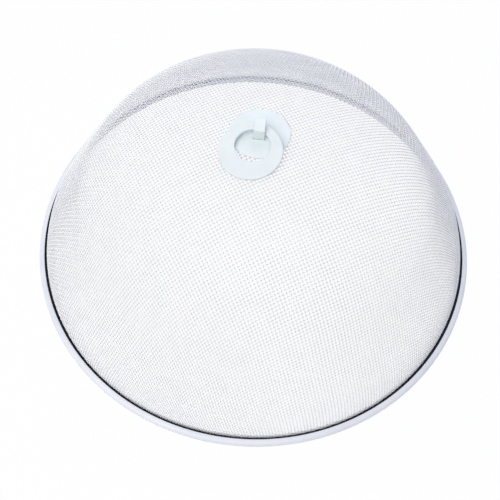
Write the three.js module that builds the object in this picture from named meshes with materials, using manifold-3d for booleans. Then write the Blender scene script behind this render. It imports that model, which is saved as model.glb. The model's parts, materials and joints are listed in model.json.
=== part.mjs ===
// Food cover: a dome of woven wire cloth in a rolled hoop, lifted by a flap ring on its crown.
// Millimetres, +Z up. The origin is the centre of the circle that the hoop stands on.
// The ring hinges about a line along X and lies towards -Y at rest.
import * as THREE from 'three';
import { mergeVertices } from 'three/addons/utils/BufferGeometryUtils.js';
import Module from 'manifold-3d';

// Fits
const seatGap = 0.3; // between pieces that touch
const runningGap = 0.4; // round the band of the ring, which turns in the strap
const cutOverrun = 2; // how far a cutting solid stands past what it cuts

// Rolled hoop: a strip that rolls over the cloth's edge on the outside and is turned up inside it
const hoopRadius = 150; // to the outside of the roll
const hoopHeight = 5.2;
const hoopSheet = 0.7;
const lipReach = 4.1; // from the roll's outside to the mouth
const upturnHeight = 3.2; // of the turned up inner edge
const upturnBend = 0.6; // inside of its bend

// Wire cloth dome: a shallow crown, a round shoulder, a straight flank and a foot that turns down into the hoop
const domeHeight = 110; // top of the cloth above the table
const clothThickness = 0.9; // two wires
const crownRadius = 440;
const crownAngle = THREE.MathUtils.degToRad(4.8); // slope where the crown meets the shoulder
const flankAngle = THREE.MathUtils.degToRad(57.5);
const footRadius = 55; // bend at the foot of the flank
const footAngle = THREE.MathUtils.degToRad(82);
const mouthGap = 1.65; // dark gap between the cloth and the lip

// Coarse grid of openings that stands for the weave of the cloth
const openingsAcross = 11; // from edge to edge over the crown
const openingShare = 0.79; // of the grid's spacing
const openingDepthShare = 0.25; // of the spacing, that a cutter stands past the cloth on each side
const openingTurn = THREE.MathUtils.degToRad(46.6); // of the wires from the ring's hinge line
const openingRim = 7; // plain edge left above the hoop, measured along the cloth
const openingHub = 3; // plain edge left round the base plate
const smallestOpeningShare = 0.15; // of a whole opening, below which one at the edge is left closed

// Stiffening wire inside the hoop
const edgeWireRadius = 0.9;

// Plates that clamp the crown of the cloth
const basePlateRadius = 17.6;
const basePlateSheet = 0.8;
const innerPlateRadius = 13;
const innerPlateSheet = 0.8;

// Flap ring: flat, with its hole off centre towards the strap
const ringRadius = 18;
const holeRadius = 10.05;
const bandWidth = 4.7; // narrow side, under the strap
const bandLift = 1; // clear space between the plate and the band as it turns
const ringThickness = 1.5;
const ringChamfer = 0.3;

// Strap: a strip bent to a bridge, with its legs folded out under the inner plate
const strapWidth = 6.1;
const strapSheet = 0.8;
const strapBend = 0.9; // inside of its bends
const footLength = 3.4; // folded part of each leg
const strapTurn = THREE.MathUtils.degToRad(14); // the ring lies askew in the strap, which stands turned from it

// Facets
const roundSteps = 48; // round the dome, the hoop and the edge wire
const rollSteps = 8; // in the half turn of the hoop's roll
const shoulderSteps = 8;
const crownSteps = 2;
const footSteps = 3;
const wireSteps = 8;
const plateSteps = 40;
const ringSteps = 24; // in a half turn of the ring
const bendSteps = 3; // in the bends of the strap and the hoop
const strapRounds = 6; // of the sum that fits the strap round the band

const quarterTurn = Math.PI / 2;
const white = { color: 0xeef2f4, roughness: 0.42, metalness: 0 };
const steel = { color: 0x8d9193, roughness: 0.5, metalness: 0.9 };

const wasm = await Module();
wasm.setup();

const cover = new THREE.Group();

// Points of an arc in a profile. The angle is measured from the first axis.
function arc(center, radius, from, to, steps) {
  const points = [];
  for (let i = 0; i <= steps; i++) {
    const angle = from + ((to - from) * i) / steps;
    points.push(new THREE.Vector2(center.x + radius * Math.cos(angle), center.y + radius * Math.sin(angle)));
  }
  return points;
}

// Solid of revolution about Z from a profile of radius and height.
function turned(profile, steps, closed) {
  const points = closed ? [...profile, profile[0].clone()] : profile;
  const geometry = new THREE.LatheGeometry(points, steps);
  geometry.rotateX(quarterTurn);
  return geometry;
}

function welded(geometry) {
  const bare = geometry.clone();
  bare.deleteAttribute('normal');
  bare.deleteAttribute('uv');
  return mergeVertices(bare);
}

function toManifold(geometry) {
  const bare = welded(geometry);
  const vertProperties = new Float32Array(bare.attributes.position.array);
  const triVerts = new Uint32Array(bare.index.array);
  return new wasm.Manifold(new wasm.Mesh({ numProp: 3, vertProperties, triVerts }));
}

function toGeometry(solid) {
  const mesh = solid.getMesh();
  const geometry = new THREE.BufferGeometry();
  geometry.setAttribute('position', new THREE.BufferAttribute(new Float32Array(mesh.vertProperties), 3));
  geometry.setIndex(new THREE.BufferAttribute(new Uint32Array(mesh.triVerts), 1));
  geometry.computeVertexNormals();
  return geometry;
}

function cut(geometry, cutters) {
  let solid = toManifold(geometry);
  for (const cutter of cutters) {
    solid = solid.subtract(cutter);
  }
  return toGeometry(solid);
}

function addPiece(name, geometry, look) {
  const mesh = new THREE.Mesh(geometry, new THREE.MeshStandardMaterial(look));
  mesh.name = name;
  cover.add(mesh);
  return mesh;
}

// The dome's middle surface passes the top of the hoop one gap inside the lip.
const mouthRadius = hoopRadius - lipReach;
const clothFootRadius = mouthRadius - mouthGap - clothThickness / 2 / Math.sin(footAngle);
const clothTop = domeHeight - clothThickness / 2;

// The shoulder's radius and the flank's length follow from the foot's radius and the height of the dome.
function solveDome() {
  const crownRun = crownRadius * Math.sin(crownAngle);
  const crownDrop = crownRadius * (1 - Math.cos(crownAngle));
  const footRun = footRadius * (Math.sin(footAngle) - Math.sin(flankAngle));
  const footDrop = footRadius * (Math.cos(flankAngle) - Math.cos(footAngle));
  const run = clothFootRadius - crownRun - footRun;
  const drop = clothTop - hoopHeight - crownDrop - footDrop;
  const shoulderRun = Math.sin(flankAngle) - Math.sin(crownAngle);
  const shoulderDrop = Math.cos(crownAngle) - Math.cos(flankAngle);
  const scale = shoulderRun * Math.sin(flankAngle) - shoulderDrop * Math.cos(flankAngle);
  return {
    shoulderRadius: (run * Math.sin(flankAngle) - drop * Math.cos(flankAngle)) / scale,
    flankLength: (drop * shoulderRun - run * shoulderDrop) / scale,
  };
}

const { shoulderRadius, flankLength } = solveDome();
const crownCenter = new THREE.Vector2(0, clothTop - crownRadius);

// Outward normal of the dome where it slopes by an angle.
function slopeNormal(angle) {
  return new THREE.Vector2(Math.sin(angle), Math.cos(angle));
}

function slopeRun(angle) {
  return new THREE.Vector2(Math.cos(angle), -Math.sin(angle));
}

// Points of a surface parallel to the middle of the cloth, from the axis to the cloth's lower edge.
function domeLine(offset) {
  const crownEnd = crownCenter.clone().addScaledVector(slopeNormal(crownAngle), crownRadius);
  const shoulderCenter = crownEnd.clone().addScaledVector(slopeNormal(crownAngle), -shoulderRadius);
  const shoulderEnd = shoulderCenter.clone().addScaledVector(slopeNormal(flankAngle), shoulderRadius);
  const flankEnd = shoulderEnd.clone().addScaledVector(slopeRun(flankAngle), flankLength);
  const footCenter = flankEnd.clone().addScaledVector(slopeNormal(flankAngle), -footRadius);
  const sections = [
    [crownCenter, crownRadius, 0, crownAngle, crownSteps],
    [shoulderCenter, shoulderRadius, crownAngle, flankAngle, shoulderSteps],
    [footCenter, footRadius, flankAngle, footAngle, footSteps],
  ];
  const points = [];
  for (const [center, radius, from, to, steps] of sections) {
    const bend = arc(center, radius + offset, quarterTurn - from, quarterTurn - to, steps);
    points.push(...(center === shoulderCenter ? bend.slice(1) : bend));
  }
  const last = points[points.length - 1];
  const down = last.y - hoopSheet - seatGap;
  points.push(new THREE.Vector2(last.x + down / Math.tan(footAngle), last.y - down));
  points[0].x = 0;
  return points;
}

// Height of a surface parallel to the crown, at a distance from the axis.
function crownHeight(offset, distance) {
  const radius = crownRadius + offset;
  return crownCenter.y + Math.sqrt(radius * radius - distance * distance);
}

const clothLine = domeLine(0);

// A point of the cloth's middle and the normal there, at a distance along the cloth from the crown.
function onCloth(distance) {
  let left = distance;
  let i = 1;
  while (i < clothLine.length - 1 && left > clothLine[i].distanceTo(clothLine[i - 1])) {
    left -= clothLine[i].distanceTo(clothLine[i - 1]);
    i++;
  }
  const run = clothLine[i].clone().sub(clothLine[i - 1]).normalize();
  const point = clothLine[i - 1].clone().addScaledVector(run, left);
  return { point, normal: new THREE.Vector2(-run.y, run.x) };
}

const clothEnd = clothLine.reduce((sum, point, i) => (i ? sum + point.distanceTo(clothLine[i - 1]) : 0), 0);
const skirtLength = clothLine[clothLine.length - 1].distanceTo(clothLine[clothLine.length - 2]);
const openingSpacing = (2 * clothEnd) / openingsAcross;
const openingDepth = openingDepthShare * openingSpacing;

// Corners of one opening, laid out flat and drawn back to the plain edge above the hoop.
function openingCorners(column, row) {
  const half = openingShare / 2;
  const rim = clothEnd - skirtLength - openingRim;
  const corners = [[-half, -half], [half, -half], [half, half], [-half, half]];
  return corners.map(([across, along]) => {
    const flat = new THREE.Vector2(column + across, row + along).multiplyScalar(openingSpacing);
    return flat.clampLength(0, rim);
  });
}

function clearOfPlate(column, row) {
  const across = Math.max(Math.abs(column) - openingShare / 2, 0);
  const along = Math.max(Math.abs(row) - openingShare / 2, 0);
  return openingSpacing * Math.hypot(across, along) > basePlateRadius + openingHub;
}

// Cutting solid of one opening, wrapped over the dome.
function openingCutter(corners) {
  const positions = [];
  for (const offset of [-openingDepth, openingDepth]) {
    for (const flat of corners) {
      const { point, normal } = onCloth(flat.length());
      const angle = flat.angle() + openingTurn;
      const place = point.clone().addScaledVector(normal, offset);
      positions.push(place.x * Math.cos(angle), place.x * Math.sin(angle), place.y);
    }
  }
  const geometry = new THREE.BufferGeometry();
  geometry.setAttribute('position', new THREE.Float32BufferAttribute(positions, 3));
  const faces = [0, 2, 1, 0, 3, 2, 4, 5, 6, 4, 6, 7];
  for (let i = 0; i < 4; i++) {
    const next = (i + 1) % 4;
    faces.push(i, next, next + 4, i, next + 4, i + 4);
  }
  geometry.setIndex(faces);
  return toManifold(geometry);
}

// The openings in the cloth, apart from those under the base plate and the scraps at the edge.
function clothOpenings() {
  const middle = (openingsAcross - 1) / 2;
  const smallest = smallestOpeningShare * (openingShare * openingSpacing) ** 2;
  const openings = [];
  for (let i = 0; i < openingsAcross; i++) {
    for (let j = 0; j < openingsAcross; j++) {
      const corners = openingCorners(i - middle, j - middle);
      if (clearOfPlate(i - middle, j - middle) && THREE.ShapeUtils.area(corners) > smallest) {
        openings.push(openingCutter(corners));
      }
    }
  }
  return openings;
}

// Round plate dished to lie along the crown, from one offset off the cloth's middle to another.
function crownPlate(lowOffset, highOffset, radius) {
  const profile = [];
  for (const offset of [lowOffset, highOffset]) {
    const reach = Math.asin(radius / (crownRadius + offset));
    profile.push(arc(crownCenter, crownRadius + offset, quarterTurn, quarterTurn - reach, crownSteps));
    profile[profile.length - 1][0].x = 0;
  }
  return turned([...profile[0], ...profile[1].reverse()], plateSteps, false);
}

// How far the hole's edge falls back from its crest beside the strap, at a distance from the middle.
function holeCurve(distance) {
  return holeRadius - Math.sqrt(holeRadius * holeRadius - distance * distance);
}

// The strap clears the band, whose two edges sweep alike where the strap's leg stands farthest along it.
function solveStrap() {
  const half = strapWidth / 2;
  let inside = bandWidth / 2;
  let sweep = inside;
  for (let i = 0; i < strapRounds; i++) {
    const reach = half * Math.cos(strapTurn) + inside * Math.sin(strapTurn);
    sweep = Math.hypot((bandWidth + holeCurve(reach)) / 2, ringHalf);
    inside = (sweep + runningGap + half * Math.sin(strapTurn)) / Math.cos(strapTurn);
  }
  const reach = half * Math.cos(strapTurn) + inside * Math.sin(strapTurn);
  return { strapInside: inside, bandSweep: sweep, bandInner: (bandWidth - holeCurve(reach)) / 2 };
}

// Sizes of the strap follow from the band of the ring that turns in it.
const ringHalf = ringThickness / 2;
const { strapInside, bandSweep, bandInner } = solveStrap(); // bandInner: from the hinge line to the hole's edge
const bandOuter = bandWidth - bandInner;
const plateBottom = clothThickness / 2 + seatGap; // offsets from the middle of the cloth
const plateTop = plateBottom + basePlateSheet;
const innerPlateTop = -clothThickness / 2 - seatGap;
const innerPlateBottom = innerPlateTop - innerPlateSheet;
const strapOutside = strapInside + strapSheet;
const pivotHeight = crownHeight(plateTop, 0) + bandSweep + bandLift;
const roofReach = strapWidth / 2 / Math.cos(strapTurn);
const strapRoof = pivotHeight + Math.hypot(bandInner + holeCurve(roofReach), ringHalf) + runningGap;
const footEnd = strapInside + footLength;
const footTop = crownHeight(innerPlateBottom, footEnd) - seatGap;

// At rest the ring lies on the cloth or on the edge of the plate, whichever it meets first.
function restTilt() {
  const ringReach = 2 * ringRadius - bandOuter;
  const fallToCloth = pivotHeight - crownHeight(clothThickness / 2, ringReach) - seatGap - ringHalf;
  const fallToPlate = pivotHeight - crownHeight(plateTop, basePlateRadius) - seatGap - ringHalf;
  return Math.min(Math.asin(fallToCloth / ringReach), Math.atan(fallToPlate / basePlateRadius));
}

// Slots that the strap's legs pass through, as cutting boxes.
function legSlots(fromHeight, toHeight) {
  const slots = [];
  for (const side of [-1, 1]) {
    const slot = new THREE.BoxGeometry(
      strapWidth + 2 * seatGap,
      strapSheet + 2 * seatGap,
      toHeight - fromHeight,
    );
    slot.translate(0, side * (strapInside + strapSheet / 2), (fromHeight + toHeight) / 2);
    slot.rotateZ(strapTurn);
    slots.push(toManifold(slot));
  }
  return slots;
}

const slotLow = crownHeight(innerPlateBottom, innerPlateRadius) - cutOverrun;
const slotHigh = crownHeight(plateTop, 0) + cutOverrun;

// Radius of the cloth's middle inside the hoop, at a height.
function skirtRadius(height) {
  return clothFootRadius + (hoopHeight - height) / Math.tan(footAngle);
}

function makeHoop() {
  const roll = hoopHeight / 2;
  const rollCenter = new THREE.Vector2(hoopRadius - roll, roll);
  const upturn = skirtRadius(upturnHeight) - clothThickness / 2 / Math.sin(footAngle) - seatGap;
  const bendCenter = new THREE.Vector2(upturn + upturnBend, hoopSheet + upturnBend);
  const profile = [
    new THREE.Vector2(mouthRadius, hoopHeight - hoopSheet),
    ...arc(rollCenter, roll - hoopSheet, quarterTurn, -quarterTurn, rollSteps),
    ...arc(bendCenter, upturnBend, -quarterTurn, -2 * quarterTurn, bendSteps),
    new THREE.Vector2(upturn, upturnHeight),
    new THREE.Vector2(upturn - hoopSheet, upturnHeight),
    ...arc(bendCenter, upturnBend + hoopSheet, -2 * quarterTurn, -quarterTurn, bendSteps),
    ...arc(rollCenter, roll, -quarterTurn, quarterTurn, rollSteps),
    new THREE.Vector2(mouthRadius, hoopHeight),
  ];
  addPiece('rim_hoop', turned(profile, roundSteps, true), white);
}

function makeDome() {
  const outside = domeLine(clothThickness / 2);
  const inside = domeLine(-clothThickness / 2);
  const shell = turned([...inside, ...outside.reverse()], roundSteps, false);
  addPiece('mesh_dome', cut(shell, [...clothOpenings(), ...legSlots(slotLow, slotHigh)]), white);
}

// The edge wire lies on the hoop's floor, under the roll and against the outside of the cloth.
function makeEdgeWire() {
  const height = hoopSheet + seatGap + edgeWireRadius;
  const stand = (clothThickness / 2 + seatGap + edgeWireRadius) / Math.sin(footAngle);
  const center = new THREE.Vector2(skirtRadius(height) + stand, height);
  const profile = arc(center, edgeWireRadius, 0, 4 * quarterTurn, wireSteps).slice(0, wireSteps);
  addPiece('edge_wire', turned(profile, roundSteps, true), steel);
}

function makePlates() {
  const slots = legSlots(slotLow, slotHigh);
  addPiece('base_plate', cut(crownPlate(plateBottom, plateTop, basePlateRadius), slots), white);
  addPiece('inner_plate', cut(crownPlate(innerPlateBottom, innerPlateTop, innerPlateRadius), slots), white);
}

// The strap's outline across the hinge line, drawn as Y and Z, carried along X and turned.
function makeStrap() {
  const outerBend = strapBend + strapSheet;
  const roofTop = strapRoof + strapSheet;
  const footBottom = footTop - strapSheet;
  const shape = new THREE.Shape();
  shape.moveTo(-footEnd, footTop);
  shape.lineTo(-strapOutside - strapBend, footTop);
  shape.absarc(-strapOutside - strapBend, footTop + strapBend, strapBend, -quarterTurn, 0, false);
  shape.lineTo(-strapOutside, roofTop - outerBend);
  shape.absarc(outerBend - strapOutside, roofTop - outerBend, outerBend, 2 * quarterTurn, quarterTurn, true);
  shape.lineTo(strapOutside - outerBend, roofTop);
  shape.absarc(strapOutside - outerBend, roofTop - outerBend, outerBend, quarterTurn, 0, true);
  shape.lineTo(strapOutside, footTop + strapBend);
  shape.absarc(strapOutside + strapBend, footTop + strapBend, strapBend, 2 * quarterTurn, 3 * quarterTurn, false);
  shape.lineTo(footEnd, footTop);
  shape.lineTo(footEnd, footBottom);
  shape.lineTo(strapInside + outerBend, footBottom);
  shape.absarc(strapInside + outerBend, footBottom + outerBend, outerBend, 3 * quarterTurn, 2 * quarterTurn, true);
  shape.lineTo(strapInside, strapRoof - strapBend);
  shape.absarc(strapInside - strapBend, strapRoof - strapBend, strapBend, 0, quarterTurn, false);
  shape.lineTo(strapBend - strapInside, strapRoof);
  shape.absarc(strapBend - strapInside, strapRoof - strapBend, strapBend, quarterTurn, 2 * quarterTurn, false);
  shape.lineTo(-strapInside, footBottom + outerBend);
  shape.absarc(-strapInside - outerBend, footBottom + outerBend, outerBend, 0, -quarterTurn, true);
  shape.lineTo(-footEnd, footBottom);
  shape.closePath();
  const geometry = new THREE.ExtrudeGeometry(shape, {
    depth: strapWidth,
    bevelEnabled: false,
    curveSegments: bendSteps,
  });
  geometry.translate(0, 0, -strapWidth / 2);
  const alongX = new THREE.Vector3(1, 0, 0);
  const alongY = new THREE.Vector3(0, 1, 0);
  const alongZ = new THREE.Vector3(0, 0, 1);
  geometry.applyMatrix4(new THREE.Matrix4().makeBasis(alongY, alongZ, alongX));
  geometry.rotateZ(strapTurn);
  addPiece('ring_strap', geometry, white);
}

// The ring is drawn flat with the hinge line through its narrow band, then tilted to rest.
function makeRing() {
  const outer = ringRadius - ringChamfer;
  const hole = holeRadius + ringChamfer;
  const shape = new THREE.Shape();
  shape.absarc(0, bandOuter - ringRadius, outer, 0, 4 * quarterTurn, false);
  const opening = new THREE.Path();
  opening.absarc(0, -bandInner - holeRadius, hole, 0, 4 * quarterTurn, true);
  shape.holes.push(opening);
  const geometry = new THREE.ExtrudeGeometry(shape, {
    depth: ringThickness - 2 * ringChamfer,
    bevelThickness: ringChamfer,
    bevelSize: ringChamfer,
    bevelSegments: 1,
    curveSegments: ringSteps,
  });
  geometry.translate(0, 0, ringChamfer - ringHalf);
  const ring = addPiece('pull_ring', geometry, white);
  ring.position.set(0, 0, pivotHeight);
  ring.rotation.x = restTilt();
}

makeHoop();
makeDome();
makeEdgeWire();
makePlates();
makeStrap();
makeRing();

export default cover;
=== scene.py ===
import json
import math

import bmesh
import bpy
import numpy as np
from mathutils import Matrix, Vector


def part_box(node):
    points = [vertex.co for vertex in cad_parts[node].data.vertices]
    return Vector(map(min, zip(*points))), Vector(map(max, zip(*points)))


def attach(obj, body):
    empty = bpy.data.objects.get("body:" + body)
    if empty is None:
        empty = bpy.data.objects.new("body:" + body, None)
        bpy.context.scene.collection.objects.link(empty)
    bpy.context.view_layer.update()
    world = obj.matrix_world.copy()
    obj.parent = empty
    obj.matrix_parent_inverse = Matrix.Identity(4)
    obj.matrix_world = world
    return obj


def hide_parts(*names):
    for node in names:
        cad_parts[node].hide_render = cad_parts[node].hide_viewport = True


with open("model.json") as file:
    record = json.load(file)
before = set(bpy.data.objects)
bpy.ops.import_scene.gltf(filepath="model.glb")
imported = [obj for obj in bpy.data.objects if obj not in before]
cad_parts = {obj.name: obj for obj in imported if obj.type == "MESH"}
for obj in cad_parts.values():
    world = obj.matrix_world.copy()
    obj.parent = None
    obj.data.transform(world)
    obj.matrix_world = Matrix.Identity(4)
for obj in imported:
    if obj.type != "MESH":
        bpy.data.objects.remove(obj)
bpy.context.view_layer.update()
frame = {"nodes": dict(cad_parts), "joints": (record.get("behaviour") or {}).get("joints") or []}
scene = bpy.context.scene
mm = 0.001
fullTurn = 2 * math.pi
halfTurn = math.pi
quarterTurn = math.pi / 2
weldDistance = 0.0001 * mm  # points nearer than this are one point
crispAngle = math.radians(40)  # two faces that meet at more than this keep a sharp edge between them
print("frame loaded:", ", ".join(sorted(frame["nodes"])))


# Materials

def linear(hexColour):
    colour = []
    for start in (1, 3, 5):
        share = int(hexColour[start:start + 2], 16) / 255
        colour.append(share / 12.92 if share <= 0.04045 else ((share + 0.055) / 1.055) ** 2.4)
    return (*colour, 1.0)


def addNode(tree, kind, settings, links=None):
    node = tree.nodes.new(kind)
    for name, value in settings.items():
        if name in node.inputs:
            node.inputs[name].default_value = value
        else:
            setattr(node, name, value)
    for name, source in (links or {}).items():
        tree.links.new(source, node.inputs[name])
    return node


def blankMaterial(name):
    material = bpy.data.materials.new(name)
    material.use_nodes = True
    material.node_tree.nodes.clear()
    return material


noise = {
    "driftDetail": 3.0,
    "grainDetail": 2.0,
    "grainRange": (0.3, 0.7),  # of the grain's own values, which give the least and the most roughness
}


# A surface whose colour drifts between two tones and whose roughness and relief follow finer grains.
# Where the mesh's own "covered" value is high, the colour turns dark: painted shade in the crevice where two
# wires touch.
def finish(name, look):
    material = blankMaterial(name)
    tree = material.node_tree
    place = addNode(tree, "ShaderNodeTexCoord", {}).outputs["Object"]
    drift = addNode(
        tree, "ShaderNodeTexNoise",
        {"Scale": 1 / look["driftSize"], "Detail": noise["driftDetail"]},
        {"Vector": place},
    )
    grain = addNode(
        tree, "ShaderNodeTexNoise",
        {"Scale": 1 / look["grainSize"], "Detail": noise["grainDetail"]},
        {"Vector": place},
    )
    tones = addNode(tree, "ShaderNodeValToRGB", {}, {"Fac": drift.outputs["Fac"]})
    low, high = tones.color_ramp.elements
    low.position, high.position = look["driftRange"]
    low.color, high.color = linear(look["thinColour"]), linear(look["fullColour"])
    colour = tones.outputs["Color"]
    # painted shade: dark specks where two wires touch at a crossing
    if "creviceShadeColour" in look:
        covered = addNode(tree, "ShaderNodeAttribute", {"attribute_name": "covered"})
        creviceShade = addNode(
            tree, "ShaderNodeMapRange",
            {"From Min": look["creviceShadeRange"][0], "From Max": look["creviceShadeRange"][1]},
            {"Value": covered.outputs["Fac"]},
        )
        mixed = addNode(
            tree, "ShaderNodeMixRGB", {"Color2": linear(look["creviceShadeColour"])},
            {"Fac": creviceShade.outputs["Result"], "Color1": colour},
        )
        colour = mixed.outputs["Color"]
    roughness = addNode(
        tree, "ShaderNodeMapRange",
        {
            "From Min": noise["grainRange"][0],
            "From Max": noise["grainRange"][1],
            "To Min": look["roughness"][0],
            "To Max": look["roughness"][1],
        },
        {"Value": grain.outputs["Fac"]},
    )
    relief = addNode(
        tree, "ShaderNodeBump",
        {"Strength": 1.0, "Distance": look["grainDepth"]},
        {"Height": grain.outputs["Fac"]},
    )
    surface = addNode(
        tree, "ShaderNodeBsdfPrincipled",
        {"Metallic": look["metallic"], "IOR": look["ior"]},
        {
            "Base Color": colour,
            "Roughness": roughness.outputs["Result"],
            "Normal": relief.outputs["Normal"],
        },
    )
    addNode(tree, "ShaderNodeOutputMaterial", {}, {"Surface": surface.outputs["BSDF"]})
    return material


# Polyester powder coat on rolled steel: baked to a satin white film that flows into a fine orange peel.
coatedHoop = finish("powder_coated_steel_strip", {
    "thinColour": "#DFE3EB",
    "fullColour": "#E6E9EF",
    "driftSize": 22 * mm,
    "driftRange": (0.35, 0.65),
    "grainSize": 1.3 * mm,
    "grainDepth": 0.012 * mm,
    "roughness": (0.34, 0.44),
    "metallic": 0.0,
    "ior": 1.5,
})

# The same coat on woven steel wire, white all round it; each crossing gets a dark speck of painted shade
# where the two wires touch.
coatedWire = finish("powder_coated_wire_cloth", {
    "thinColour": "#F2F3F5",
    "fullColour": "#F9FAFB",
    "driftSize": 9 * mm,
    "driftRange": (0.35, 0.65),
    "grainSize": 0.9 * mm,
    "grainDepth": 0.01 * mm,
    "roughness": (0.4, 0.5),
    "metallic": 0.0,
    "ior": 1.5,
    "creviceShadeColour": "#1E2024",
    "creviceShadeRange": (0.35, 0.49),  # of the covered value
})

# The same coat on the stamped plates and the strap, a mint white beside the bluer hoop.
coatedPlate = finish("powder_coated_steel_plate", {
    "thinColour": "#E1EAEA",
    "fullColour": "#E7F0F0",
    "driftSize": 14 * mm,
    "driftRange": (0.35, 0.65),
    "grainSize": 1.1 * mm,
    "grainDepth": 0.012 * mm,
    "roughness": (0.36, 0.46),
    "metallic": 0.0,
    "ior": 1.5,
})

# The same coat on the ring, a shade greyer than the plate, so that it stands out from it.
coatedRing = finish("powder_coated_steel_ring", {
    "thinColour": "#E1E8E9",
    "fullColour": "#E6EDED",
    "driftSize": 12 * mm,
    "driftRange": (0.35, 0.65),
    "grainSize": 1.1 * mm,
    "grainDepth": 0.012 * mm,
    "roughness": (0.34, 0.42),
    "metallic": 0.0,
    "ior": 1.5,
})

# Bare zinc-phosphated steel where no powder reaches, drawn nearly black, blue and dull as painted shade in
# the hollow of the roll.
phosphateWithPaintedShade = finish("zinc_phosphate_painted_shade", {
    "thinColour": "#10141D",
    "fullColour": "#1E2430",
    "driftSize": 6 * mm,
    "driftRange": (0.3, 0.7),
    "grainSize": 0.4 * mm,
    "grainDepth": 0.01 * mm,
    "roughness": (0.7, 0.85),
    "metallic": 0.0,
    "ior": 1.5,
})
print("materials made")


# Mesh helpers

def meshFromArrays(name, points, corners, starts, uvs):
    mesh = bpy.data.meshes.new(name)
    mesh.vertices.add(len(points))
    mesh.vertices.foreach_set("co", np.asarray(points, np.float32).ravel())
    mesh.loops.add(len(corners))
    mesh.loops.foreach_set("vertex_index", np.asarray(corners, np.int32))
    mesh.polygons.add(len(starts))
    mesh.polygons.foreach_set("loop_start", np.asarray(starts, np.int32))
    mesh.update(calc_edges=True)
    layer = mesh.uv_layers.new(name="OFBake")
    layer.uv.foreach_set("vector", np.asarray(uvs, np.float32).ravel())
    mesh.validate()
    mesh.shade_smooth()
    return mesh


def addPiece(name, mesh, materials, body, nodes):
    piece = bpy.data.objects.new(name, mesh)
    scene.collection.objects.link(piece)
    for material in materials:
        mesh.materials.append(material)
    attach(piece, body)
    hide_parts(*nodes)
    return piece


# Faces over a grid of points, rows by columns. Columns always close on themselves, rows only if asked.
def gridMesh(name, points, closedRows):
    rows, columns = points.shape[:2]
    lastRow = rows if closedRows else rows - 1
    mesh = bpy.data.meshes.new(name)
    built = bmesh.new()
    vertices = [built.verts.new(point) for point in points.reshape(-1, 3)]
    for row in range(lastRow):
        for column in range(columns):
            here, across = row * columns, (row + 1) % rows * columns
            ahead = (column + 1) % columns
            corners = (here + column, here + ahead, across + ahead, across + column)
            built.faces.new([vertices[corner] for corner in corners])
    if not closedRows:
        built.faces.new(vertices[columns - 1::-1])
        built.faces.new(vertices[-columns:])
    bmesh.ops.remove_doubles(built, verts=built.verts, dist=weldDistance)
    bmesh.ops.recalc_face_normals(built, faces=built.faces)
    built.to_mesh(mesh)
    built.free()
    mesh.shade_smooth()
    return mesh


# A section of radius and height points, turned round Z.
def turned(section, steps):
    angles = np.arange(steps) * fullTurn / steps
    around = np.stack([np.cos(angles), np.sin(angles)], axis=1)
    flat = section[:, None, :1] * around[None]
    heights = np.repeat(section[:, None, 1:], steps, axis=1)
    return np.concatenate([flat, heights], axis=2)


def arc(center, radius, start, end, steps):
    angles = np.linspace(start, end, steps + 1)
    normals = np.stack([np.cos(angles), np.sin(angles)], axis=1)
    return np.asarray(center) + radius * normals, normals


# Outline of a bent strip, from points and normals along its middle: one side, a round edge, the other side.
def stripOutline(points, normals, half, edgeSteps):
    edges = []
    for end, inward in ((-1, -2), (0, 1)):
        out = points[end] - points[inward]
        out = out / np.linalg.norm(out)
        side = normals[end] if end == -1 else -normals[end]
        turn = np.linspace(0, halfTurn, edgeSteps + 1)[1:-1, None]
        edges.append(points[end] + half * (np.cos(turn) * side + np.sin(turn) * out))
    return np.concatenate([points + half * normals, edges[0], (points - half * normals)[::-1], edges[1]])


def crispNormals(piece):
    piece.data.set_sharp_from_angle(angle=crispAngle)
    keep = piece.modifiers.new("flat_faces_stay_flat", "WEIGHTED_NORMAL")
    keep.keep_sharp = True


# Rolled hoop: a strip that rolls over the cloth's edge on the outside and is turned up a little inside it

hoop = {
    "sheet": 0.7 * mm,
    "lipReach": 3.8 * mm,
    "upturnHeight": 4.3 * mm,
    "upturnBend": 0.6 * mm,  # inside of its bend
    "clothPress": 0.3 * mm,  # how far the wires and the upturn are pressed into each other
    "rollSteps": 24,
    "bendSteps": 6,
    "edgeSteps": 6,
    "roundSteps": 360,
}


def makeHoop():
    low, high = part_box("rim_hoop")
    clothLow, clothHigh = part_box("mesh_dome")
    roll = (high.z - low.z) / 2
    half = hoop["sheet"] / 2
    rise = hoop["upturnHeight"] - clothLow.z
    clothWidth = clothThickness / math.sin(cloth["skirtSlope"])
    upturn = clothHigh.x - clothWidth - rise / math.tan(cloth["skirtSlope"]) + hoop["clothPress"]
    bend = hoop["upturnBend"]
    lip = np.array([[high.x - hoop["lipReach"] + half, 2 * roll - half]])
    rolled, rolledNormals = arc(
        (high.x - roll, roll), roll - half, quarterTurn, -quarterTurn, hoop["rollSteps"]
    )
    bent, bentNormals = arc(
        (upturn + bend, hoop["sheet"] + bend), bend + half, -quarterTurn, -halfTurn, hoop["bendSteps"]
    )
    top = np.array([[upturn - half, hoop["upturnHeight"] - half]])
    middle = np.concatenate([lip, rolled, bent, top])
    normals = np.concatenate([[[0, 1]], rolledNormals, bentNormals, [[-1, 0]]])
    section = stripOutline(middle, normals, half, hoop["edgeSteps"])
    mesh = gridMesh("rolled_hoop", turned(section, hoop["roundSteps"]), True)
    piece = addPiece("rolled_hoop", mesh, [coatedHoop, phosphateWithPaintedShade], "cover", ["rim_hoop"])

    # Powder blows past the upturn, but not in under the roll: the strip's concave side, from its bend to the
    # lip's edge, is bare steel drawn near-black as painted shade in the roll's hollow.
    firstDark = len(middle) + hoop["edgeSteps"] - 1 + hoop["bendSteps"] // 2
    lastDark = 2 * len(middle) + hoop["edgeSteps"] - 2
    for face in mesh.polygons:
        if firstDark <= face.index // hoop["roundSteps"] <= lastDark:
            face.material_index = 1
    crispNormals(piece)


# Stiffening wire in the hoop

edgeWire = {
    "radius": 0.9 * mm,
    "wireSteps": 16,
    "roundSteps": 240,
}


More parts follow.
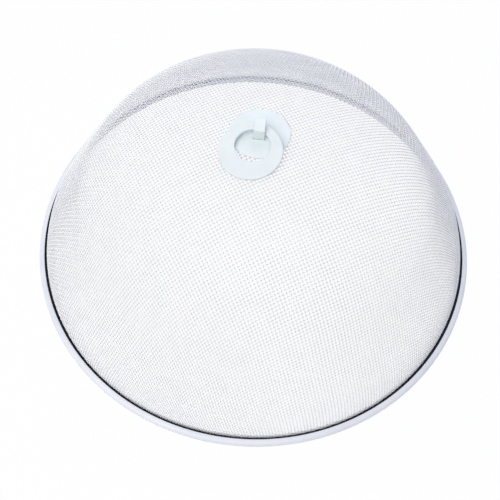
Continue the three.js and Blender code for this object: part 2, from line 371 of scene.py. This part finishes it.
def makeEdgeWire():
    low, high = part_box("edge_wire")
    center = (high.x - edgeWire["radius"], low.z + edgeWire["radius"])
    section = arc(center, edgeWire["radius"], 0, fullTurn, edgeWire["wireSteps"])[0][:-1]
    mesh = gridMesh("stiffening_wire", turned(section, edgeWire["roundSteps"]), True)
    # The wire lies in the roll's hollow and takes the same bare steel with painted shade.
    addPiece("stiffening_wire", mesh, [phosphateWithPaintedShade], "cover", ["edge_wire"])


# Wire cloth: two sets of wires, woven over and under, that lie on the dome's middle surface.
# The dome has a shallow crown, a round shoulder, a straight flank, a steeper foot and an upright skirt that
# stands in the hoop.

cloth = {
    "crownRadius": 440 * mm,
    "crownSlope": math.radians(4.8),
    "flankSlope": math.radians(57.5),
    "footRadius": 80 * mm,
    "footSlope": math.radians(75.5),
    "mouthRadius": 6 * mm,  # of the last bend, where the cloth goes into the hoop
    "skirtSlope": math.radians(90),
    "wireRadius": 0.225 * mm,
    "pitch": 2.05 * mm,
    "turn": math.radians(46.6),  # of one set of wires from the ring's hinge line
    "wireSides": 6,
    "piecesPerSet": 4,
    "spareCrossings": 8,  # in the grid beyond those that fit from the crown to the edge
    "spareReach": 3,  # pitches past the cloth's edge to which crossings are found
    "solveRounds": 5,
    "nudgeShare": 0.001,  # of the pitch, to feel how the misfit changes
    "fewestPoints": 3,  # that make a wire
    "leastEndShare": 0.05,  # of half a pitch, below which a wire isn't drawn on to the edge
    "stripShares": (0.1, 0.9),  # of a wire's strip in the map, where its faces start and end
}
clothThickness = 4 * cloth["wireRadius"]  # two wires


def domeSections():
    low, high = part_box("mesh_dome")
    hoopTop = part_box("rim_hoop")[1].z
    crown, flank, foot, skirt = [cloth[f"{name}Slope"] for name in ("crown", "flank", "foot", "skirt")]
    skirtDrop = hoopTop - low.z - cloth["mouthRadius"] * (math.cos(foot) - math.cos(skirt))
    footEnd = high.x - clothThickness / 2 / math.sin(skirt) - skirtDrop / math.tan(skirt)
    footEnd -= cloth["mouthRadius"] * (math.sin(skirt) - math.sin(foot))
    run = footEnd - cloth["crownRadius"] * math.sin(crown)
    run -= cloth["footRadius"] * (math.sin(foot) - math.sin(flank))
    drop = high.z - clothThickness / 2 - hoopTop - cloth["crownRadius"] * (1 - math.cos(crown))
    drop -= cloth["footRadius"] * (math.cos(flank) - math.cos(foot))

    # The shoulder's radius and the flank's length close the line from the crown to the foot.
    shoulderRun = math.sin(flank) - math.sin(crown)
    shoulderDrop = math.cos(crown) - math.cos(flank)
    scale = shoulderRun * math.sin(flank) - shoulderDrop * math.cos(flank)
    shoulderRadius = (run * math.sin(flank) - drop * math.cos(flank)) / scale
    flankLength = (drop * shoulderRun - run * shoulderDrop) / scale
    return high.z - clothThickness / 2, [
        (cloth["crownRadius"] * crown, 0, cloth["crownRadius"]),
        (shoulderRadius * (flank - crown), crown, shoulderRadius),
        (flankLength, flank, None),
        (cloth["footRadius"] * (foot - flank), flank, cloth["footRadius"]),
        (cloth["mouthRadius"] * (skirt - foot), foot, cloth["mouthRadius"]),
        (skirtDrop / math.sin(skirt), skirt, None),
    ]


crownTop, sections = domeSections()
clothEdge = sum(section[0] for section in sections)
solvedEdge = clothEdge + cloth["spareReach"] * cloth["pitch"]


# Radius, height and slope of the middle surface at a distance from the crown, measured along the surface.
def surfaceAt(distance):
    radius, height = np.zeros_like(distance), np.full_like(distance, crownTop)
    slope = np.zeros_like(distance)
    start = 0
    for length, startSlope, bend in sections:
        isLast = startSlope == cloth["skirtSlope"]
        part = np.clip(distance - start, 0, None if isLast else length)
        if bend is None:
            radius += part * math.cos(startSlope)
            height -= part * math.sin(startSlope)
        else:
            reached = startSlope + part / bend
            radius += bend * (np.sin(reached) - math.sin(startSlope))
            height -= bend * (math.cos(startSlope) - np.cos(reached))
            slope += part / bend
        start += length
    return radius, height, slope


# Points of the surface from flat coordinates: their length is the distance from the crown.
def onSurface(flat):
    distance = np.hypot(flat[..., 0], flat[..., 1])
    radius, height, slope = surfaceAt(distance)
    share = flat / np.maximum(distance, weldDistance)[..., None]
    points = np.concatenate([share * radius[..., None], height[..., None]], axis=-1)
    normals = np.concatenate([share * np.sin(slope)[..., None], np.cos(slope)[..., None]], axis=-1)
    return points, normals


# Cloth shears when it is pressed to a dome and its wires keep their spacing. So the crossings are found one
# by one, outward from two wires that cross at the crown: each lies one pitch from its two inner neighbours.
def solveQuadrant():
    count = int(clothEdge / cloth["pitch"]) + cloth["spareCrossings"]
    steps = np.arange(count) * cloth["pitch"]
    grid = np.full((count, count, 2), np.nan)
    grid[:, 0] = np.stack([steps, np.zeros(count)], axis=1)
    grid[0, :] = np.stack([np.zeros(count), steps], axis=1)
    nudge = cloth["nudgeShare"] * cloth["pitch"]
    for diagonal in range(2, 2 * count - 1):
        i = np.arange(max(1, diagonal - count + 1), min(diagonal, count))
        j = diagonal - i
        first, second, inner = grid[i - 1, j], grid[i, j - 1], grid[i - 1, j - 1]
        guess = first + second - inner
        known = np.isfinite(guess).all(axis=1)
        if not known.any():
            break
        i, j, guess = i[known], j[known], guess[known]
        anchors = [onSurface(first[known])[0], onSurface(second[known])[0]]

        def misfit(flat):
            points = onSurface(flat)[0]
            return np.stack([((points - a) ** 2).sum(axis=1) - cloth["pitch"] ** 2 for a in anchors], axis=1)

        for _ in range(cloth["solveRounds"]):
            now = misfit(guess)
            changes = [misfit(guess + step) - now for step in ([nudge, 0], [0, nudge])]
            slopes = np.stack(changes, axis=2)
            guess = guess - np.linalg.solve(slopes / nudge, now[..., None])[..., 0]
        guess[np.hypot(guess[:, 0], guess[:, 1]) > solvedEdge] = np.nan
        grid[i, j] = guess
    return grid


# The quadrant mirrored into all four, turned as the cloth lies.
def solveCrossings():
    grid = solveQuadrant()
    grid[np.hypot(grid[..., 0], grid[..., 1]) > solvedEdge] = np.nan
    half = np.concatenate([grid[:0:-1] * [-1, 1], grid])
    whole = np.concatenate([half[:, :0:-1] * [1, -1], half], axis=1)
    cos, sin = math.cos(cloth["turn"]), math.sin(cloth["turn"])
    return whole @ np.array([[cos, sin], [-sin, cos]])


# Splits a true or false list into its runs of true, as index ranges.
def runsOf(mask):
    edges = np.flatnonzero(np.diff(np.concatenate([[0], mask.astype(int), [0]])))
    return list(zip(edges[::2], edges[1::2]))


# One wire's middle line, cut at the cloth's edge and at the slots for the strap's legs.
def wireLines(crossings, lift):
    found = np.isfinite(crossings).all(axis=1)
    lines = []
    for start, end in runsOf(found):
        knots = crossings[start:end]
        if len(knots) < cloth["fewestPoints"]:
            continue
        flat = np.empty((2 * len(knots) - 1, 2))
        flat[::2] = knots
        flat[1::2] = (knots[1:] + knots[:-1]) / 2
        height = np.zeros(len(flat))
        height[::2] = lift[start:end]
        distance = np.hypot(flat[:, 0], flat[:, 1])
        for first, last in runsOf(distance < clothEdge):
            pieceFlat, pieceHeight = flat[first:last], height[first:last]
            for atEnd, inside, outside in ((False, first, first - 1), (True, last - 1, last)):
                if 0 <= outside < len(flat):
                    share = (clothEdge - distance[inside]) / (distance[outside] - distance[inside])
                    if share > cloth["leastEndShare"]:
                        at = len(pieceFlat) if atEnd else 0
                        cutFlat = flat[inside] + share * (flat[outside] - flat[inside])
                        cutHeight = height[inside] + share * (height[outside] - height[inside])
                        pieceFlat = np.insert(pieceFlat, at, cutFlat, axis=0)
                        pieceHeight = np.insert(pieceHeight, at, cutHeight)
            points, normals = onSurface(pieceFlat)
            points = points + pieceHeight[:, None] * normals
            for a, b in runsOf(clearOfStrap(points)):
                if b - a >= cloth["fewestPoints"]:
                    lines.append((points[a:b], normals[a:b], pieceHeight[a:b]))
    return lines


def tubes(name, lines):
    sides = cloth["wireSides"]
    turn = np.arange(sides) * fullTurn / sides
    points, corners, starts, uvs, covered = [], [], [], [], []
    used = cornerCount = 0
    for number, (middle, normals, heights) in enumerate(lines):
        along = np.gradient(middle, axis=0)
        along /= np.linalg.norm(along, axis=1)[:, None]
        across = np.cross(along, normals)
        across /= np.linalg.norm(across, axis=1)[:, None]
        out = np.cross(across, along)
        circle = np.cos(turn)[None, :, None] * out[:, None] + np.sin(turn)[None, :, None] * across[:, None]
        points.append((middle[:, None] + cloth["wireRadius"] * circle).reshape(-1, 3))

        # The crossing wire covers the side that it lies on: wholly at the crossing, not at all half way to
        # the next. This share sets the painted shade at the crossings.
        touching = -heights[:, None] / cloth["wireRadius"] * np.cos(turn)[None]
        covered.append(np.maximum(touching, 0).ravel())
        count = len(middle)
        row, side = np.meshgrid(np.arange(count - 1), np.arange(sides), indexing="ij")
        ahead = (side + 1) % sides
        quads = np.stack([
            row * sides + side,
            (row + 1) * sides + side,
            (row + 1) * sides + ahead,
            row * sides + ahead,
        ], axis=2).reshape(-1, 4) + used
        caps = np.concatenate([np.arange(sides), (count - 1) * sides + np.arange(sides)[::-1]]) + used
        corners += [quads.ravel(), caps]
        starts.append(cornerCount + 4 * np.arange(len(quads)))
        starts.append(cornerCount + 4 * len(quads) + np.array([0, sides]))

        # Each wire has a strip of its own across the map, with a little room on both sides.
        low, high = [(number + share) / len(lines) for share in cloth["stripShares"]]
        u = np.stack([row, row + 1, row + 1, row], axis=2) / (count - 1)
        v = low + (high - low) * np.stack([side, side, side + 1, side + 1], axis=2) / sides
        uvs.append(np.stack([u, v], axis=3).reshape(-1, 2))
        capV = low + (high - low) * np.arange(sides) / sides
        uvs.append(np.stack([np.zeros(sides), capV], axis=1))
        uvs.append(np.stack([np.ones(sides), capV[::-1]], axis=1))
        used += count * sides
        cornerCount += quads.size + 2 * sides
    joined = [np.concatenate(parts) for parts in (points, corners, starts, uvs)]
    mesh = meshFromArrays(name, *joined)
    layer = mesh.attributes.new("covered", "FLOAT", "POINT")
    layer.data.foreach_set("value", np.concatenate(covered).astype(np.float32))
    return mesh


def makeCloth():
    crossings = solveCrossings()
    count = len(crossings)
    i, j = np.meshgrid(np.arange(count), np.arange(count), indexing="ij")
    lift = cloth["wireRadius"] * np.where((i + j) % 2 == 0, 1, -1)
    total = 0
    for name, places, lifts in (
        ("warp_wires", crossings, lift),
        ("weft_wires", crossings.transpose(1, 0, 2), -lift.T),
    ):
        lines = [line for k in range(count) for line in wireLines(places[k], lifts[k])]
        reached = np.cumsum([len(line[0]) for line in lines])
        share = np.minimum(reached * cloth["piecesPerSet"] // (reached[-1] + 1), cloth["piecesPerSet"] - 1)
        for part in range(cloth["piecesPerSet"]):
            chosen = [line for line, place in zip(lines, share) if place == part]
            mesh = tubes(f"{name}_{part + 1}", chosen)
            addPiece(mesh.name, mesh, [coatedWire], "cover", ["mesh_dome"])
            total += 2 * sum(len(line[0]) for line in chosen) * cloth["wireSides"]
        print(f"{name}: {len(lines)} wires")
    print(f"wire cloth: about {total} triangles")


# Plates that clamp the crown of the cloth, dished like it, with slots for the strap's legs

plates = {
    "sheet": 0.8 * mm,
    "legGap": 0.3 * mm,
    "dishSteps": 12,
    "edgeSteps": 8,
    "roundSteps": 144,
}

strap = {
    "turn": math.radians(14),  # from the ring's hinge line, because the ring lies askew in it
    "width": 6.1 * mm,
    "sheet": 0.8 * mm,
    "bend": 0.9 * mm,  # inside of its bends
    "footLength": 3.4 * mm,
    "cornerRadius": 0.25 * mm,
    "bendSteps": 8,
    "cornerSteps": 4,
}

strapLow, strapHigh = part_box("ring_strap")
footReach = (strapHigh.y - strap["width"] / 2 * math.sin(strap["turn"])) / math.cos(strap["turn"])
legInside = footReach - strap["footLength"]


def clearOfStrap(points):
    cos, sin = math.cos(strap["turn"]), math.sin(strap["turn"])
    across = np.abs(points[:, 0] * cos + points[:, 1] * sin)
    along = np.abs(points[:, 1] * cos - points[:, 0] * sin)
    gap = plates["legGap"] + cloth["wireRadius"]
    acrossLeg = across < strap["width"] / 2 + gap
    throughLeg = np.abs(along - legInside - strap["sheet"] / 2) < strap["sheet"] / 2 + gap
    return ~(acrossLeg & throughLeg)


def applyModifiers(piece):
    shown = piece.evaluated_get(bpy.context.evaluated_depsgraph_get())
    mesh = bpy.data.meshes.new_from_object(shown)
    piece.modifiers.clear()
    piece.data = mesh


def cutSlots(piece, low, high):
    cutter = bmesh.new()
    gap = plates["legGap"]
    turn = Matrix.Rotation(strap["turn"], 4, "Z")
    for side in (-1, 1):
        size = (strap["width"] + 2 * gap, strap["sheet"] + 2 * gap, high - low)
        place = (0, side * (legInside + strap["sheet"] / 2), (low + high) / 2)
        bmesh.ops.create_cube(cutter, matrix=turn @ Matrix.Translation(place) @ Matrix.Diagonal((*size, 1)))
    mesh = bpy.data.meshes.new("slots")
    cutter.to_mesh(mesh)
    cutter.free()
    slots = bpy.data.objects.new("slots", mesh)
    scene.collection.objects.link(slots)
    cut = piece.modifiers.new("slots", "BOOLEAN")
    cut.object = slots
    cut.solver = "EXACT"
    bpy.context.view_layer.update()
    applyModifiers(piece)
    bpy.data.objects.remove(slots)
    bpy.data.meshes.remove(mesh)


def makePlate(name, node):
    low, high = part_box(node)
    half = plates["sheet"] / 2
    top = high.z
    radius = cloth["crownRadius"] + top - half - crownTop
    reach = math.asin((high.x - half) / radius)
    center = (0, top - half - radius)
    middle, normals = arc(center, radius, quarterTurn, quarterTurn - reach, plates["dishSteps"])
    section = stripOutline(middle, normals, half, plates["edgeSteps"])[:-(plates["edgeSteps"] - 1)]
    section[[0, -1], 0] = 0
    mesh = gridMesh(name, turned(section, plates["roundSteps"]), False)
    piece = addPiece(name, mesh, [coatedPlate], "cover", [node])
    cutSlots(piece, low.z - plates["sheet"], high.z + plates["sheet"])
    crispNormals(piece)


# Strap: a strip bent to a bridge over the ring, with its legs folded out under the inner plate

def strapLine():
    half = strap["sheet"] / 2
    bend = strap["bend"] + half
    legMiddle = legInside + half
    footMiddle = strapLow.z + half
    roofMiddle = strapHigh.z - half
    steps = strap["bendSteps"]
    foot = np.array([[-footReach, footMiddle]]), np.array([[0.0, 1.0]])
    lower = arc((-legMiddle - bend, footMiddle + bend), bend, -quarterTurn, 0, steps)
    upper = arc((-legMiddle + bend, roofMiddle - bend), bend, halfTurn, quarterTurn, steps)
    lower = lower[0], -lower[1]
    points = np.concatenate([foot[0], lower[0], upper[0]])
    normals = np.concatenate([foot[1], lower[1], upper[1]])
    mirror = np.array([-1, 1])
    return np.concatenate([points, points[::-1] * mirror]), np.concatenate([normals, normals[::-1] * mirror])


def makeStrap():
    points, normals = strapLine()
    corner = strap["cornerRadius"]
    width, half = strap["width"] / 2 - corner, strap["sheet"] / 2 - corner
    section = []
    for quarter, (across, out) in enumerate(((1, 1), (-1, 1), (-1, -1), (1, -1))):
        center = (across * width, out * half)
        start = quarter * quarterTurn
        section.append(arc(center, corner, start, start + quarterTurn, strap["cornerSteps"])[0])
    section = np.concatenate(section)
    grid = np.zeros((len(points), len(section), 3))
    grid[..., 0] = section[None, :, 0]
    grid[..., 1:] = points[:, None] + section[None, :, 1:] * normals[:, None]
    mesh = gridMesh("bent_strap", grid, False)
    mesh.transform(Matrix.Rotation(strap["turn"], 4, "Z"))
    piece = addPiece("bent_strap", mesh, [coatedPlate], "cover", ["ring_strap"])
    crispNormals(piece)


# Flap ring: stamped flat, with its hole off centre towards the strap and its edges tumbled round

ring = {
    "radius": 18.0 * mm,
    "holeRadius": 10.05 * mm,
    "bandWidth": 4.7 * mm,  # narrow side, under the strap
    "hingeInset": 1.945 * mm,  # from the hinge line to the hole's edge
    "thickness": 1.5 * mm,
    "edgeRadius": 0.55 * mm,
    "edgeSteps": 6,
    "roundSteps": 128,
}


# The ring's tilt at rest is that of the largest upper face of its solid.
def restTilt():
    faces = [face for face in frame["nodes"]["pull_ring"].data.polygons if face.normal.z > 0]
    normal = max(faces, key=lambda face: face.area * face.normal.z).normal
    return math.atan2(-normal.y, normal.z)


def makeRing():
    edge = ring["edgeRadius"]
    flat = ring["thickness"] / 2 - edge
    rim = (ring["bandWidth"] - ring["hingeInset"] - ring["radius"], ring["radius"] - edge)
    hole = (-ring["hingeInset"] - ring["holeRadius"], ring["holeRadius"] + edge)
    rows = []
    for (middle, radius), level, start in (
        (rim, -flat, -quarterTurn), (rim, flat, 0), (hole, flat, quarterTurn), (hole, -flat, halfTurn),
    ):
        corner = arc((radius, level), edge, start, start + quarterTurn, ring["edgeSteps"])[0]
        rows.append(turned(corner, ring["roundSteps"]) + [0, middle, 0])
    mesh = gridMesh("flap_ring", np.concatenate(rows), True)
    hinge = Vector(frame["joints"][0]["pos_m"])
    mesh.transform(Matrix.Translation(hinge) @ Matrix.Rotation(restTilt(), 4, "X"))
    piece = addPiece("flap_ring", mesh, [coatedRing], "ring", ["pull_ring"])
    crispNormals(piece)


makeHoop()
makeEdgeWire()
print("hoop and stiffening wire made")
makeCloth()
makePlate("crown_plate", "base_plate")
makePlate("under_plate", "inner_plate")
makeStrap()
makeRing()
print("plates, strap and ring made")


# Camera, fitted to the ellipse of the hoop and the outline of the dome

camera = {
    "azimuth": math.radians(18),  # round from -Y towards +X
    "elevation": math.radians(60.92),
    "roll": math.radians(2.54),
    "distance": 457.65 * mm,
    "framePixels": 500,
    "focalPixels": 640,
    "originPixels": (4.38, -17.19),  # right and down from the frame's middle to the middle of the hoop
    "clipRange": (0.01, 20),
}


def makeCamera():
    cosA, sinA = math.cos(camera["azimuth"]), math.sin(camera["azimuth"])
    cosE, sinE = math.cos(camera["elevation"]), math.sin(camera["elevation"])
    right = Vector((cosA, sinA, 0))
    back = Vector((sinA * cosE, -cosA * cosE, sinE))
    up = back.cross(right)
    cosR, sinR = math.cos(camera["roll"]), math.sin(camera["roll"])
    right, up = cosR * right + sinR * up, cosR * up - sinR * right
    perPixel = camera["distance"] / camera["focalPixels"]
    shiftRight, shiftDown = camera["originPixels"]
    place = back * camera["distance"] - right * shiftRight * perPixel + up * shiftDown * perPixel
    data = bpy.data.cameras.new("photo_camera")
    data.lens = data.sensor_width * camera["focalPixels"] / camera["framePixels"]
    data.clip_start, data.clip_end = camera["clipRange"]
    taker = bpy.data.objects.new("photo_camera", data)
    scene.collection.objects.link(taker)
    taker.matrix_world = Matrix.Translation(place) @ Matrix((right, up, back)).transposed().to_4x4()
    scene.camera = taker


# Studio: a white table and white walls, a large soft lamp up to the left of the camera and a weaker one
# behind the cover

studio = {
    "tableSize": 8.0,
    "tableDrop": 0.05 * mm,
    "tableColour": "#EDEFF1",
    "shownWhite": 0.96,  # share of the table that the camera sees as plain white, the rest takes the shadow
    "wallColour": "#E6EAF8",
    "wallStrength": 0.54,
    "lamps": (
        {"name": "key", "place": (-0.3, -0.66, 1.14), "size": 1.4, "watts": 12.2, "colour": "#FFFBF4"},
        {"name": "back", "place": (-0.1, 1.2, 0.9), "size": 1.0, "watts": 5.5, "colour": "#E3EBFF"},
    ),
    "aim": (0, 0, 0.06),
}


# One where the camera, a gloss or a clear piece looks straight at the surface, and nought for the light that
# falls on the object.
def seenDirectly(tree):
    rays = addNode(tree, "ShaderNodeLightPath", {})
    straight = addNode(tree, "ShaderNodeMath", {"operation": "MAXIMUM"})
    tree.links.new(rays.outputs["Is Camera Ray"], straight.inputs[0])
    tree.links.new(rays.outputs["Is Glossy Ray"], straight.inputs[1])
    either = addNode(tree, "ShaderNodeMath", {"operation": "MAXIMUM"})
    tree.links.new(straight.outputs["Value"], either.inputs[0])
    tree.links.new(rays.outputs["Is Transmission Ray"], either.inputs[1])
    return either.outputs["Value"]


def makeTable():
    material = blankMaterial("white_laminate")
    tree = material.node_tree
    plain = addNode(tree, "ShaderNodeBsdfDiffuse", {"Color": linear(studio["tableColour"])})
    white = addNode(tree, "ShaderNodeEmission", {"Strength": 1.0})
    share = addNode(tree, "ShaderNodeMath", {"operation": "MULTIPLY"})
    tree.links.new(seenDirectly(tree), share.inputs[0])
    share.inputs[1].default_value = studio["shownWhite"]
    mixed = addNode(tree, "ShaderNodeMixShader", {}, {"Fac": share.outputs["Value"]})
    tree.links.new(plain.outputs["BSDF"], mixed.inputs[1])
    tree.links.new(white.outputs["Emission"], mixed.inputs[2])
    addNode(tree, "ShaderNodeOutputMaterial", {}, {"Surface": mixed.outputs["Shader"]})
    built = bmesh.new()
    bmesh.ops.create_grid(built, x_segments=1, y_segments=1, size=studio["tableSize"] / 2)
    mesh = bpy.data.meshes.new("table")
    built.to_mesh(mesh)
    built.free()
    table = bpy.data.objects.new("table", mesh)
    table.location.z = -studio["tableDrop"]
    scene.collection.objects.link(table)
    mesh.materials.append(material)


def makeWalls():
    world = bpy.data.worlds.new("white_walls")
    world.use_nodes = True
    scene.world = world
    tree = world.node_tree
    tree.nodes.clear()
    light = addNode(
        tree, "ShaderNodeBackground",
        {"Color": linear(studio["wallColour"]), "Strength": studio["wallStrength"]},
    )
    white = addNode(tree, "ShaderNodeBackground", {"Color": (1, 1, 1, 1), "Strength": 1.0})
    mixed = addNode(tree, "ShaderNodeMixShader", {}, {"Fac": seenDirectly(tree)})
    tree.links.new(light.outputs["Background"], mixed.inputs[1])
    tree.links.new(white.outputs["Background"], mixed.inputs[2])
    addNode(tree, "ShaderNodeOutputWorld", {}, {"Surface": mixed.outputs["Shader"]})


def makeLamps():
    for lamp in studio["lamps"]:
        data = bpy.data.lights.new(lamp["name"], "AREA")
        data.shape = "DISK"
        data.size = lamp["size"]
        data.energy = lamp["watts"]
        data.color = linear(lamp["colour"])[:3]
        shone = bpy.data.objects.new(lamp["name"], data)
        scene.collection.objects.link(shone)
        shone.location = lamp["place"]
        away = Vector(lamp["place"]) - Vector(studio["aim"])
        shone.rotation_euler = away.to_track_quat("Z", "Y").to_euler()


makeCamera()
makeTable()
makeWalls()
makeLamps()
scene.view_settings.view_transform = "Standard"
print("studio made")
